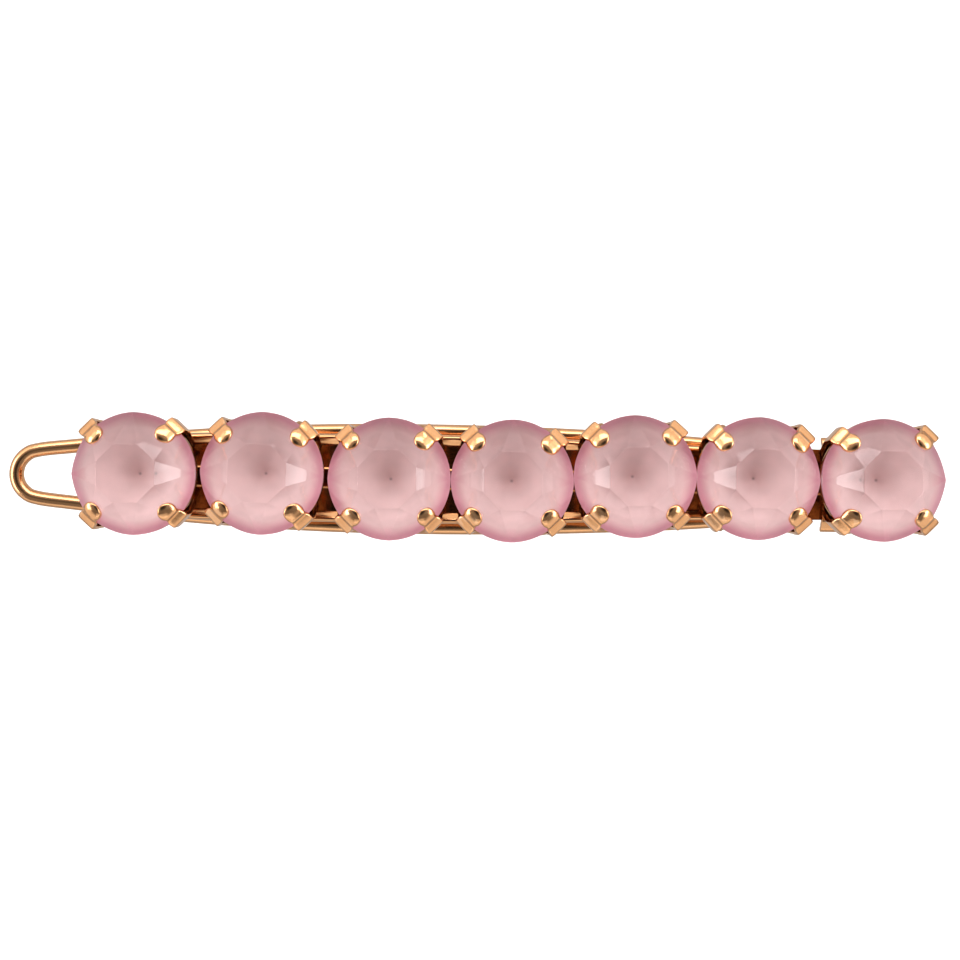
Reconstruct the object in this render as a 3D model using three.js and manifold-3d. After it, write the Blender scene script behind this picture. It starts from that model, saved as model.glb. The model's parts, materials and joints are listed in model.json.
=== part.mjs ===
// Rhinestone hair clip: seven round faceted stones in four-prong cups, soldered in a row to a
// stamped bar, with a round-wire bail that pivots under one end and snaps over a catch at the other.
// Millimetres, +Z up, +X along the row towards the hinge. The clip lies with its stones up.
import * as THREE from 'three';
import { ConvexGeometry } from 'three/addons/geometries/ConvexGeometry.js';
import { mergeVertices } from 'three/addons/utils/BufferGeometryUtils.js';
import Module from 'manifold-3d';

const wasm = await Module();
wasm.setup();

// ---- Driving dimensions ----

// Stones. Heights are above a cup's underside.
const stoneRadius = 4.09;
const crownHeight = 1.95;
const girdleHeight = 0.45;
const pavilionDepth = 2.75;
const tableAcrossFlats = 3.8;
const facetCount = 8;
const girdleSegments = 48;
const culetGap = 0.1;

// Row of cups: where each cup's axis stands, with the small offsets left by hand soldering.
const cupPlaces = [
  { x: -23.06, y: 0.11, turn: 1 },
  { x: -14.53, y: 0.24, turn: -2 },
  { x: -6.05, y: -0.02, turn: 1 },
  { x: 2.15, y: -0.04, turn: -1 },
  { x: 10.34, y: 0.37, turn: 2 },
  { x: 18.54, y: 0.35, turn: -1 },
  { x: 26.86, y: 0.35, turn: 1 },
];
const seatHeight = 2.8;

// Cups, pressed from sheet.
const cupFloor = 0.3;
const cupFootRadius = 2.3;
const cupHeelRadius = 2.95;
const cupHeelRise = 0.2;
const cupBellyRadius = 3.72;
const cupBellyRise = 1.4;
const cupRimRadius = 4.07;
const cupRimHeight = 2.75;
const cupWall = 0.28;
const cupSegments = 24;
const prongCount = 4;
const prongWidth = 1.2;
const prongShoulderRadius = 4.56;
const prongFoldRadius = 3.94;
const prongTipRadius = 2.92;
const prongThickness = 0.38;

// Bar, stamped from sheet, with a rounded bead raised along each edge.
const barBottom = 1.7;
const barThickness = 0.5;
const barCatchEnd = -28.1;
const barHingeEnd = 28.3;
const beadRadius = 0.42;
const beadTop = 2.55;
const grooveWidth = 1.2;
const grooveDepth = 0.15;

// Catch: a tongue at the bar's end, bent down between the bail's legs.
const catchNeckHalf = 1.2;
const catchHeadHalf = 1.45;
const catchHeadHeight = 0.5;
const catchFootHalf = 0.8;

// Bail and hinge.
const wireRadius = 0.5;
const wireHeight = 1.1;
const bailTip = -33.2;
const bowRadius = 1.7;
const pivotX = 26.0;
const legAtPivot = 1.78;
const pinReach = 3.45;
const earOuter = 3.3;
const earHalfLength = 1.3;
const earCorner = 0.8;
const earTop = 1.75;
const pivotHoleRadius = 0.58;
const saddleStart = 23.77;
const saddleEnd = 28.2;
const saddleThickness = 0.4;
const shoulderInner = 2.5;
const shoulderDrop = 0.42;
const restGap = 0.02;

// Solder between a cup and what it stands on.
const solderRadius = 1.45;

// Worked-out heights.
const barTop = barBottom + barThickness;
const saddleBottom = barTop + restGap;
const saddleTop = saddleBottom + saddleThickness;
const girdleBottom = cupFloor + culetGap + pavilionDepth;
const girdleTop = girdleBottom + girdleHeight;
const tableHeight = girdleTop + crownHeight;
const tableApothem = tableAcrossFlats / 2;
const tableCorner = tableApothem / Math.cos(Math.PI / facetCount);

// ---- Finishes ----

function roseGold(roughness) {
  return new THREE.MeshStandardMaterial({ color: 0xd98a4e, metalness: 1, roughness });
}

function pinkGlass() {
  return new THREE.MeshStandardMaterial({ color: 0xd9a3ab, metalness: 0, roughness: 0.35 });
}

// ---- Joining and cutting ----

function toManifold(geometry) {
  const bare = geometry.clone();
  bare.deleteAttribute('normal');
  bare.deleteAttribute('uv');
  const merged = mergeVertices(bare, 1e-5);
  const vertProperties = Float32Array.from(merged.attributes.position.array);
  const triVerts = Uint32Array.from(merged.index.array);
  return new wasm.Manifold(new wasm.Mesh({ numProp: 3, vertProperties, triVerts }));
}

function toGeometry(manifold) {
  const mesh = manifold.getMesh();
  const geometry = new THREE.BufferGeometry();
  geometry.setAttribute('position', new THREE.BufferAttribute(mesh.vertProperties, 3));
  geometry.setIndex(new THREE.BufferAttribute(mesh.triVerts, 1));
  geometry.computeVertexNormals();
  return geometry;
}

function join(...geometries) {
  return geometries.map(toManifold).reduce((whole, next) => whole.add(next));
}

// A box between two corners.
function boxBetween(low, high) {
  const size = new THREE.Vector3().subVectors(high, low);
  const middle = new THREE.Vector3().addVectors(low, high).multiplyScalar(0.5);
  const box = new THREE.BoxGeometry(size.x, size.y, size.z);
  return box.translate(middle.x, middle.y, middle.z);
}

// A flat outline drawn in X and Z, thickened along Y from low to high.
function slabAlongY(shape, low, high) {
  const slab = new THREE.ExtrudeGeometry(shape, { depth: high - low, bevelEnabled: false, curveSegments: 4 });
  slab.rotateX(Math.PI / 2);
  return slab.translate(0, high, 0);
}

// A flat outline drawn in Y and Z, thickened along X from low to high.
function slabAlongX(shape, low, high) {
  const slab = new THREE.ExtrudeGeometry(shape, { depth: high - low, bevelEnabled: false, curveSegments: 4 });
  slab.rotateZ(Math.PI / 2);
  slab.rotateY(Math.PI / 2);
  return slab.translate(low, 0, 0);
}

// A round rod along a curve, with ten sides.
function rodAlongCurve(radius, curve, steps) {
  const section = new THREE.Shape();
  section.absarc(0, 0, radius, 0, 2 * Math.PI);
  return new THREE.ExtrudeGeometry(section, { extrudePath: curve, steps, curveSegments: 5 });
}

// A straight round rod along Y.
function rodAlongY(radius, low, high, sides) {
  const rod = new THREE.CylinderGeometry(radius, radius, high - low, sides);
  return rod.translate(0, (low + high) / 2, 0);
}

// ---- Stones ----

function polar(radius, angle, height) {
  return new THREE.Vector3(radius * Math.cos(angle), radius * Math.sin(angle), height);
}

// Height of the girdle's upper edge at an angle. It is highest where a star facet's tip meets it,
// and dips between two tips, where the broad facet runs down through the rim.
function girdleEdge(angle) {
  const step = (2 * Math.PI) / facetCount;
  const offAxis = Math.abs(((angle % step) + step) % step - step / 2);
  const chord = stoneRadius * Math.cos(step / 2);
  const slope = crownHeight / (tableCorner - chord);
  return girdleTop + slope * (stoneRadius * Math.cos(offAxis) - chord);
}

function stoneGeometry() {
  const points = [polar(0, 0, cupFloor + culetGap)];
  for (let i = 0; i < girdleSegments; i += 1) {
    const angle = (i * 2 * Math.PI) / girdleSegments;
    points.push(polar(stoneRadius, angle, girdleBottom));
    points.push(polar(stoneRadius, angle, girdleEdge(angle)));
  }
  for (let i = 0; i < facetCount; i += 1) {
    points.push(polar(tableCorner, ((i + 0.5) * 2 * Math.PI) / facetCount, tableHeight));
  }
  return new ConvexGeometry(points);
}

// ---- Cups ----

// Side view of a prong: X is the distance from the stone's axis. The strap curves up out of the
// cup's foot, stands upright beside the girdle, and is folded over the crown with a domed tip.
function prongSide() {
  const shape = new THREE.Shape();
  shape.moveTo(cupFootRadius, 0);
  shape.lineTo(cupHeelRadius + 0.2, cupHeelRise);
  shape.quadraticCurveTo(4.4, 1.6, prongShoulderRadius, girdleTop - 1);
  shape.lineTo(prongShoulderRadius, girdleTop + 0.06);
  shape.lineTo(prongFoldRadius, girdleTop + 0.6);
  shape.lineTo(prongTipRadius + 0.5, girdleTop + 1.14);
  shape.lineTo(prongTipRadius + 0.2, girdleTop + 1.24);
  shape.lineTo(prongTipRadius, girdleTop + 1.14);
  shape.lineTo(prongTipRadius + 0.04, girdleTop + 1.01);
  shape.lineTo(3.86, girdleTop + 0.27);
  shape.lineTo(prongShoulderRadius - prongThickness, girdleTop - 0.02);
  shape.lineTo(prongShoulderRadius - prongThickness, girdleTop - 1);
  shape.quadraticCurveTo(4, 1.6, cupHeelRadius - 0.05, cupFloor + 0.2);
  return shape;
}

// Front view of a prong: wide where it leaves the cup, parallel at the girdle, rounded at the tip.
function prongFront() {
  const half = prongWidth / 2;
  const waist = girdleTop - 0.6;
  const round = girdleTop + 0.72;
  const tip = girdleTop + 1.26;
  const shape = new THREE.Shape();
  shape.moveTo(-1.2, -0.1);
  shape.lineTo(1.2, -0.1);
  shape.lineTo(1.45, 1.0);
  shape.lineTo(1.2, 2.1);
  shape.quadraticCurveTo(half + 0.1, waist - 0.4, half, waist);
  shape.lineTo(half, girdleTop + 0.5);
  shape.lineTo(half + 0.03, round);
  shape.quadraticCurveTo(half, tip, 0, tip);
  shape.quadraticCurveTo(-half, tip, -half - 0.03, round);
  shape.lineTo(-half, girdleTop + 0.5);
  shape.lineTo(-half, waist);
  shape.quadraticCurveTo(-half - 0.1, waist - 0.4, -1.2, 2.1);
  shape.lineTo(-1.45, 1.0);
  return shape;
}

function prong() {
  const side = toManifold(slabAlongY(prongSide(), -2, 2));
  const front = toManifold(slabAlongX(prongFront(), 1, 6));
  return side.intersect(front);
}

function cupBowl() {
  const profile = [
    new THREE.Vector2(0, 0),
    new THREE.Vector2(cupFootRadius, 0),
    new THREE.Vector2(cupHeelRadius, cupHeelRise),
    new THREE.Vector2(cupBellyRadius, cupBellyRise),
    new THREE.Vector2(cupRimRadius, cupRimHeight),
    new THREE.Vector2(cupRimRadius - cupWall, cupRimHeight),
    new THREE.Vector2(cupBellyRadius - cupWall, cupBellyRise),
    new THREE.Vector2(cupHeelRadius - cupWall, cupFloor),
    new THREE.Vector2(0, cupFloor),
  ];
  return new THREE.LatheGeometry(profile, cupSegments).rotateX(Math.PI / 2);
}

function settingGeometry() {
  let whole = toManifold(cupBowl());
  for (let i = 0; i < prongCount; i += 1) {
    whole = whole.add(prong().rotate([0, 0, 45 + (i * 360) / prongCount]));
  }
  return toGeometry(whole);
}

// ---- Bar and catch ----

// Half the bar's width along its length: a long leaf, broadest left of the middle.
const barEdge = new THREE.SplineCurve([
  new THREE.Vector2(barCatchEnd, catchNeckHalf),
  new THREE.Vector2(-26.6, 2.0),
  new THREE.Vector2(-23.5, 2.75),
  new THREE.Vector2(-19.8, 3.04),
  new THREE.Vector2(-10.8, 3.11),
  new THREE.Vector2(-2.1, 3.13),
  new THREE.Vector2(6.6, 2.92),
  new THREE.Vector2(15.2, 2.6),
  new THREE.Vector2(23.9, 2.45),
  new THREE.Vector2(barHingeEnd, 2.4),
]);

function barPlate() {
  const upper = barEdge.getSpacedPoints(36);
  const lower = upper.map((point) => new THREE.Vector2(point.x, -point.y)).reverse();
  const shape = new THREE.Shape([...upper, ...lower]);
  const plate = new THREE.ExtrudeGeometry(shape, { depth: barThickness, bevelEnabled: false });
  return plate.translate(0, 0, barBottom);
}

// The bead's centre runs inside the bar's edge and sinks into the plate at both ends.
function edgeBead(side) {
  const middle = beadTop - beadRadius;
  const route = [
    [-27.0, 2.02, barTop - beadRadius - 0.1],
    [-24.6, 2.56, middle - 0.12],
    [-22.5, 2.88, middle],
    [-19.8, 3.04, middle],
    [-10.8, 3.11, middle],
    [-2.1, 3.13, middle],
    [6.6, 2.92, middle],
    [15.2, 2.6, middle - 0.2],
    [19.5, 2.52, middle - 0.42],
    [22.5, 2.47, barTop - beadRadius - 0.1],
  ];
  const points = route.map(([x, edge, z]) => new THREE.Vector3(x, side * (edge - beadRadius), z));
  const curve = new THREE.CatmullRomCurve3(points);
  return rodAlongCurve(beadRadius, curve, 44);
}

function catchTongue() {
  const neckFoot = catchHeadHeight + 0.1;
  const shape = new THREE.Shape();
  shape.moveTo(-catchFootHalf, 0);
  shape.lineTo(catchFootHalf, 0);
  shape.lineTo(catchHeadHalf, catchHeadHeight * 0.6);
  shape.lineTo(catchHeadHalf, catchHeadHeight);
  shape.lineTo(catchNeckHalf, neckFoot);
  shape.lineTo(catchNeckHalf, barTop);
  shape.lineTo(-catchNeckHalf, barTop);
  shape.lineTo(-catchNeckHalf, neckFoot);
  shape.lineTo(-catchHeadHalf, catchHeadHeight);
  shape.lineTo(-catchHeadHalf, catchHeadHeight * 0.6);
  return slabAlongX(shape, barCatchEnd, barCatchEnd + barThickness);
}

function barGeometry() {
  const groove = boxBetween(
    new THREE.Vector3(-26, -grooveWidth / 2, barTop - grooveDepth),
    new THREE.Vector3(barHingeEnd + 1, grooveWidth / 2, barTop + 1),
  );
  const underside = boxBetween(
    new THREE.Vector3(barCatchEnd + 1, -5, -1),
    new THREE.Vector3(barHingeEnd + 1, 5, barBottom),
  );
  const beads = join(edgeBead(1), edgeBead(-1)).subtract(toManifold(underside));
  const bar = join(barPlate(), catchTongue()).add(beads);
  return toGeometry(bar.subtract(toManifold(groove)));
}

// ---- Hinge bracket ----

// The bracket's end view: a flat top over the bar, a sloping shoulder each side, and upright ears.
function bracketEnd() {
  const slope = Math.atan2(shoulderDrop, earOuter - shoulderInner);
  const topInset = saddleThickness * Math.tan(slope / 2);
  const sideInset = saddleThickness * Math.tan((Math.PI / 2 - slope) / 2);
  const shoulderFoot = saddleTop - shoulderDrop;
  const outer = [
    [earOuter, 0],
    [earOuter, shoulderFoot],
    [shoulderInner, saddleTop],
  ];
  const inner = [
    [shoulderInner - topInset, saddleBottom],
    [earOuter - saddleThickness, shoulderFoot - sideInset],
    [earOuter - saddleThickness, 0],
  ];
  const mirror = (points) => points.map(([y, z]) => [-y, z]).reverse();
  const outline = [...outer, ...mirror(outer), ...mirror(inner), ...inner];
  return new THREE.Shape(outline.map(([y, z]) => new THREE.Vector2(y, z)));
}

// The bracket's side view: the saddle's full length above, and shorter ears with rounded feet.
function bracketSide() {
  const left = pivotX - earHalfLength;
  const right = pivotX + earHalfLength;
  const shape = new THREE.Shape();
  shape.moveTo(saddleStart, saddleTop + 1);
  shape.lineTo(saddleStart, earTop);
  shape.lineTo(left, earTop);
  shape.lineTo(left, earCorner);
  shape.quadraticCurveTo(left, 0, left + earCorner, 0);
  shape.lineTo(right - earCorner, 0);
  shape.quadraticCurveTo(right, 0, right, earCorner);
  shape.lineTo(right, earTop);
  shape.lineTo(saddleEnd, earTop);
  shape.lineTo(saddleEnd, saddleTop + 1);
  return shape;
}

function bracketGeometry() {
  const folded = toManifold(slabAlongX(bracketEnd(), saddleStart, saddleEnd));
  const outline = toManifold(slabAlongY(bracketSide(), -5, 5));
  const bore = rodAlongY(pivotHoleRadius, -5, 5, 16).translate(pivotX, 0, wireHeight);
  return toGeometry(folded.intersect(outline).subtract(toManifold(bore)));
}

// ---- Bail ----

// The wire's centre line: out along one leg, round the bow, and back along the other leg.
function bailRoute() {
  const bowCentre = bailTip + wireRadius + bowRadius;
  const leg = [
    [pivotX, legAtPivot],
    [23.9, 1.95],
    [15.2, 2.75],
    [6.6, 3.19],
    [-2.1, 3.38],
    [-10.8, 3.3],
    [-19.8, 2.84],
    [-28.6, 2.0],
  ];
  const points = leg.map(([x, y]) => new THREE.Vector3(x, y, wireHeight));
  for (const degrees of [84, 60, 30, 0, -30, -60, -84]) {
    const angle = THREE.MathUtils.degToRad(degrees);
    const x = bowCentre - bowRadius * Math.cos(angle);
    points.push(new THREE.Vector3(x, bowRadius * Math.sin(angle), wireHeight));
  }
  for (const [x, y] of leg.reverse()) {
    points.push(new THREE.Vector3(x, -y, wireHeight));
  }
  return new THREE.CatmullRomCurve3(points);
}

function bailGeometry() {
  const wire = rodAlongCurve(wireRadius, bailRoute(), 120);
  const pins = [1, -1].map((side) => {
    const inner = side * (legAtPivot - wireRadius);
    const [low, high] = [inner, side * pinReach].sort((a, b) => a - b);
    return rodAlongY(wireRadius, low, high, 10).translate(pivotX, 0, wireHeight);
  });
  return toGeometry(join(wire, ...pins));
}

// ---- Solder ----

function solderGeometry(bottom) {
  const top = seatHeight - restGap;
  const profile = [
    new THREE.Vector2(0, bottom),
    new THREE.Vector2(solderRadius, bottom),
    new THREE.Vector2(solderRadius, top),
    new THREE.Vector2(0, top),
  ];
  return new THREE.LatheGeometry(profile, 16).rotateX(Math.PI / 2);
}

// ---- Assembly ----

function addMesh(parent, name, geometry, material) {
  const mesh = new THREE.Mesh(geometry, material);
  mesh.name = name;
  parent.add(mesh);
  return mesh;
}

function buildClip() {
  const clip = new THREE.Group();
  addMesh(clip, 'base_bar', barGeometry(), roseGold(0.3));
  addMesh(clip, 'hinge_bracket', bracketGeometry(), roseGold(0.3));
  addMesh(clip, 'wire_bail', bailGeometry(), roseGold(0.22));

  const setting = settingGeometry();
  const stone = stoneGeometry();
  cupPlaces.forEach((place, i) => {
    const cup = new THREE.Group();
    cup.position.set(place.x, place.y, seatHeight);
    cup.rotation.z = THREE.MathUtils.degToRad(place.turn);
    addMesh(cup, `setting_${i + 1}`, setting, roseGold(0.2));
    addMesh(cup, `stone_${i + 1}`, stone, pinkGlass());
    clip.add(cup);

    const onSaddle = place.x > saddleStart;
    const footing = (onSaddle ? saddleTop : barTop) + restGap;
    const solder = addMesh(clip, `solder_${i + 1}`, solderGeometry(footing), roseGold(0.4));
    solder.position.set(place.x, place.y, 0);
  });
  return clip;
}

// The origin is the middle of the clip's footprint, on the surface that it lies on.
const hairClip = buildClip();
hairClip.updateMatrixWorld(true);
const extent = new THREE.Box3().setFromObject(hairClip, true);
const middle = extent.getCenter(new THREE.Vector3());
hairClip.position.set(-middle.x, -middle.y, -extent.min.z);

export default hairClip;
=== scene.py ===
"""The looks of a rhinestone hair clip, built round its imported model.

Sizes in the classes are millimetres in the clip's own frame, and become metres when a mesh is made.
"""

import json
import logging
import math
import random
from dataclasses import dataclass, field
from enum import Enum
from typing import Callable, Sequence

import bmesh
import bpy
from mathutils import Euler, Matrix, Vector


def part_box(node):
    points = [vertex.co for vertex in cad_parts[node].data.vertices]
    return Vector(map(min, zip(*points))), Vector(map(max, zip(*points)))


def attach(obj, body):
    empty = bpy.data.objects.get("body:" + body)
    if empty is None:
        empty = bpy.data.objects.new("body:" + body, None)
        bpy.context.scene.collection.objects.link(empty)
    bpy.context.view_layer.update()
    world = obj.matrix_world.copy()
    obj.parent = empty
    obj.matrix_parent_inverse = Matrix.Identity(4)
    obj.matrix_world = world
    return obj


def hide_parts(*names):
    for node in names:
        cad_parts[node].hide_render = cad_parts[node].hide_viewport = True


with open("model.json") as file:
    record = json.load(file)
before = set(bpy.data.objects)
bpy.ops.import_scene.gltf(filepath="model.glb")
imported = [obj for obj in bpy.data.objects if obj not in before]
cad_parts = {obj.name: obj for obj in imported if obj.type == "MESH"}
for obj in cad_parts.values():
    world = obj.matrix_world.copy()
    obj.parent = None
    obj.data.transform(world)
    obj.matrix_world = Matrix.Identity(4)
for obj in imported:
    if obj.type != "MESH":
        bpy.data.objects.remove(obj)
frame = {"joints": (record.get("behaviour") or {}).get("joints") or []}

LOG = logging.getLogger("hair_clip")
MM = 0.001
CROWN_HEIGHT = 1.95
MERGE_DISTANCE = 1e-7
BEVEL_STEPS = 2
END_DOME = (0.0, 0.4, 0.75, 1.1, 1.45)
END_FLATNESS = 0.6

Colour = tuple[float, float, float]
Ring = list[Vector]
Profile = list[tuple[float, float]]


class Body(Enum):
    """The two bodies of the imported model."""

    CLIP = "clip"
    BAIL = "bail"


class Slot(Enum):
    """The record's material slots."""

    BAR = "bar_metal"
    BRACKET = "bracket_metal"
    WIRE = "wire_metal"
    SETTING = "setting_metal"
    SOLDER = "solder_metal"
    STONE = "stone_glass"


class Operation(Enum):
    """How a tool changes a piece."""

    JOIN = "UNION"
    CUT = "DIFFERENCE"


class Sum(Enum):
    """The sums that a maths node does."""

    ADD = "ADD"
    SUBTRACT = "SUBTRACT"
    MULTIPLY = "MULTIPLY"
    DIVIDE = "DIVIDE"


# ---------------------------------------------------------------- mesh making


def node_box(name: str) -> tuple[Vector, Vector]:
    """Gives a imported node's lowest and highest corners.

    Args:
        name: The node's name.

    Returns:
        The two corners, in millimetres.
    """
    low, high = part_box(name)
    return low / MM, high / MM


def hinge_place() -> Vector:
    """Gives the middle of the bail's hinge, in millimetres."""
    joint = next(j for j in frame["joints"] if j["name"] == "bail_hinge")
    return Vector(joint["pos_m"]) / MM


def spline(points: Sequence[Vector], per_span: int) -> list[Vector]:
    """Runs a smooth centripetal curve through points.

    Args:
        points: The points, in order.
        per_span: How many samples each span between two points gets.

    Returns:
        The samples, ending on the last point.
    """
    ends = [2 * points[0] - points[1], *points, 2 * points[-1] - points[-2]]
    samples = []
    for i in range(1, len(ends) - 2):
        p0, p1, p2, p3 = ends[i - 1 : i + 3]
        t1 = (p1 - p0).length ** 0.5
        t2 = t1 + (p2 - p1).length ** 0.5
        t3 = t2 + (p3 - p2).length ** 0.5
        for step in range(per_span):
            t = t1 + (t2 - t1) * step / per_span
            a1 = p0.lerp(p1, t / t1)
            a2 = p1.lerp(p2, (t - t1) / (t2 - t1))
            a3 = p2.lerp(p3, (t - t2) / (t3 - t2))
            b1 = a1.lerp(a2, t / t2)
            b2 = a2.lerp(a3, (t - t1) / (t3 - t1))
            samples.append(b1.lerp(b2, (t - t1) / (t2 - t1)))
    samples.append(points[-1].copy())
    return samples


def curve_value(knots: Profile, at: float) -> float:
    """Reads a smooth curve given by knots, level at every knot.

    Args:
        knots: Pairs of place and value, in rising order of place.
        at: The place to read.

    Returns:
        The value there, held constant past both ends.
    """
    if at <= knots[0][0]:
        return knots[0][1]
    for (x0, y0), (x1, y1) in zip(knots, knots[1:]):
        if at <= x1:
            share = (at - x0) / (x1 - x0)
            return y0 + (y1 - y0) * share * share * (3 - 2 * share)
    return knots[-1][1]


def superellipse(half_width: float, half_height: float, box: float, dome: float, count: int) -> Profile:
    """Draws a rounded strip's section.

    Args:
        half_width: Half the strip's width.
        half_height: Half the strip's thickness.
        box: Exponent of the lower half: small is square, 1 is round.
        dome: Exponent of the upper half.
        count: How many points to draw.

    Returns:
        Pairs of sideways place and height, in order round the section.
    """
    section = []
    for i in range(count):
        angle = 2 * math.pi * i / count
        cosine, sine = math.cos(angle), math.sin(angle)
        power = dome if sine > 0 else box
        across = math.copysign(abs(cosine) ** power, cosine) * half_width
        section.append((across, math.copysign(abs(sine) ** power, sine) * half_height))
    return section


@dataclass
class Shell:
    """Closed surfaces that together make one piece."""

    verts: list[Vector] = field(default_factory=list)
    faces: list[tuple[int, ...]] = field(default_factory=list)

    def loft(self, rings: Sequence[Ring]) -> None:
        """Skins a row of rings and caps both ends.

        Args:
            rings: Rings with the same number of points.
        """
        start, count = len(self.verts), len(rings[0])
        for ring in rings:
            self.verts.extend(ring)
        last = start + (len(rings) - 1) * count
        for here in range(start, last, count):
            there = here + count
            for j in range(count):
                k = (j + 1) % count
                self.faces.append((here + j, here + k, there + k, there + j))
        self.faces.append(tuple(range(start + count - 1, start - 1, -1)))
        self.faces.append(tuple(range(last, last + count)))

    def lathe(self, profile: Profile, segments: int, lift: Callable[[float], float] | None = None) -> None:
        """Turns a closed profile round the Z axis.

        Args:
            profile: Pairs of radius and height, from the axis round to the axis.
            segments: How many steps round the axis.
            lift: Extra height as a share of each point's own, by angle in radians.
        """
        start = len(self.verts)
        self.verts.append(Vector((0, 0, profile[0][1])))
        self.verts.append(Vector((0, 0, profile[-1][1])))
        inner = profile[1:-1]
        for i in range(segments):
            angle = 2 * math.pi * i / segments
            share = 1 + (lift(angle) if lift else 0)
            cosine, sine = math.cos(angle), math.sin(angle)
            for radius, height in inner:
                self.verts.append(Vector((radius * cosine, radius * sine, height * share)))
        count = len(inner)
        for i in range(segments):
            here = start + 2 + i * count
            there = start + 2 + (i + 1) % segments * count
            self.faces.append((start, there, here))
            for j in range(count - 1):
                self.faces.append((here + j, there + j, there + j + 1, here + j + 1))
            self.faces.append((here + count - 1, there + count - 1, start + 1))

    def rod(self, route: Sequence[Vector], radius: float, sides: int) -> None:
        """Runs a round rod with domed ends along a route.

        Args:
            route: Points along the rod's centre line.
            radius: The rod's radius.
            sides: How many sides its section has.
        """
        rings = []
        side = Vector((0, 0, 1))
        last = len(route) - 1
        circle = [2 * math.pi * j / sides for j in range(sides)]
        for i, point in enumerate(route):
            ahead = (route[min(i + 1, last)] - route[max(i - 1, 0)]).normalized()
            side = (side - ahead * side.dot(ahead)).normalized()
            up = ahead.cross(side)
            dome = END_DOME if i in (0, last) else (0.0,)
            way = -1 if i == 0 else 1
            for bend in dome[::way]:
                middle = point + ahead * (way * radius * math.sin(bend) * END_FLATNESS)
                r = radius * math.cos(bend)
                rings.append([middle + side * r * math.cos(a) + up * r * math.sin(a) for a in circle])
        self.loft(rings)

    def turned(self, degrees: float) -> "Shell":
        """Gives a copy of the surfaces, turned about the Z axis by some degrees."""
        turn = Matrix.Rotation(math.radians(degrees), 3, "Z")
        return Shell([turn @ v for v in self.verts], list(self.faces))

    def take(self, other: "Shell") -> None:
        """Adds another shell's surfaces to these.

        Args:
            other: The other shell.
        """
        start = len(self.verts)
        self.verts.extend(other.verts)
        self.faces.extend(tuple(start + i for i in face) for face in other.faces)

    def piece(self, name: str, place: Vector | None = None, sharp: float = 40.0) -> bpy.types.Object:
        """Makes the Blender object.

        Args:
            name: The piece's name.
            place: Where the piece's own origin stands, in millimetres.
            sharp: Edges that bend by more than this many degrees stay sharp.

        Returns:
            The object, shaded smooth with sharp edges kept.
        """
        mesh = bpy.data.meshes.new(name)
        mesh.from_pydata([v * MM for v in self.verts], [], self.faces)
        obj = bpy.data.objects.new(name, mesh)
        bpy.context.scene.collection.objects.link(obj)
        if place is not None:
            obj.location = place * MM
        tidy_mesh(obj, sharp)
        return obj


def tidy_mesh(obj: bpy.types.Object, sharp: float) -> None:
    """Merges doubled points, turns every face outwards and marks the sharp edges.

    Args:
        obj: The piece.
        sharp: Edges that bend by more than this many degrees stay sharp.
    """
    work = bmesh.new()
    work.from_mesh(obj.data)
    bmesh.ops.remove_doubles(work, verts=work.verts, dist=MERGE_DISTANCE)
    bmesh.ops.dissolve_degenerate(work, edges=work.edges, dist=MERGE_DISTANCE)
    bmesh.ops.recalc_face_normals(work, faces=work.faces)
    work.to_mesh(obj.data)
    work.free()
    shade(obj, sharp)


def shade(obj: bpy.types.Object, sharp: float) -> None:
    """Shades a piece smooth, apart from its sharp edges.

    Args:
        obj: The piece.
        sharp: Edges that bend by more than this many degrees stay sharp.
    """
    obj.data.polygons.foreach_set("use_smooth", [True] * len(obj.data.polygons))
    obj.data.set_sharp_from_angle(angle=math.radians(sharp))
    obj.data.update()


def apply_modifiers(obj: bpy.types.Object) -> None:
    """Turns a piece's modifiers into plain mesh.

    Args:
        obj: The piece.
    """
    graph = bpy.context.evaluated_depsgraph_get()
    mesh = bpy.data.meshes.new_from_object(obj.evaluated_get(graph))
    obj.modifiers.clear()
    obj.data = mesh


def combine(obj: bpy.types.Object, tool: bpy.types.Object, operation: Operation, sharp: float) -> None:
    """Joins a tool to a piece or cuts it out, and removes the tool.

    Args:
        obj: The piece.
        tool: The other solid.
        operation: Whether the tool is joined or cut out.
        sharp: Edges that bend by more than this many degrees stay sharp.
    """
    modifier = obj.modifiers.new("combine", "BOOLEAN")
    modifier.operation = operation.value
    modifier.object = tool
    modifier.solver = "EXACT"
    apply_modifiers(obj)
    bpy.data.objects.remove(tool)
    tidy_mesh(obj, sharp)


def soften_edges(obj: bpy.types.Object, width: float, angle: float) -> None:
    """Rounds the edges that bend by more than an angle.

    Args:
        obj: The piece.
        width: The rounding's width in millimetres.
        angle: Edges that bend by more than this many degrees are rounded.
    """
    modifier = obj.modifiers.new("soften", "BEVEL")
    modifier.width = width * MM
    modifier.segments = BEVEL_STEPS
    modifier.limit_method = "ANGLE"
    modifier.angle_limit = math.radians(angle)
    apply_modifiers(obj)


def dress(obj: bpy.types.Object, body: Body, material: bpy.types.Material, node: str) -> None:
    """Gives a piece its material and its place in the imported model.

    Args:
        obj: The piece.
        body: The body that it moves with.
        material: Its material.
        node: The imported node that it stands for.
    """
    obj.data.materials.clear()
    obj.data.materials.append(material)
    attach(obj, body.value)
    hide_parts(node)
    LOG.info("%s: %d faces, rides on %s", obj.name, len(obj.data.polygons), body.value)


# ---------------------------------------------------------------- node building


Value = float | tuple[float, ...] | bpy.types.NodeSocket


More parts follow.
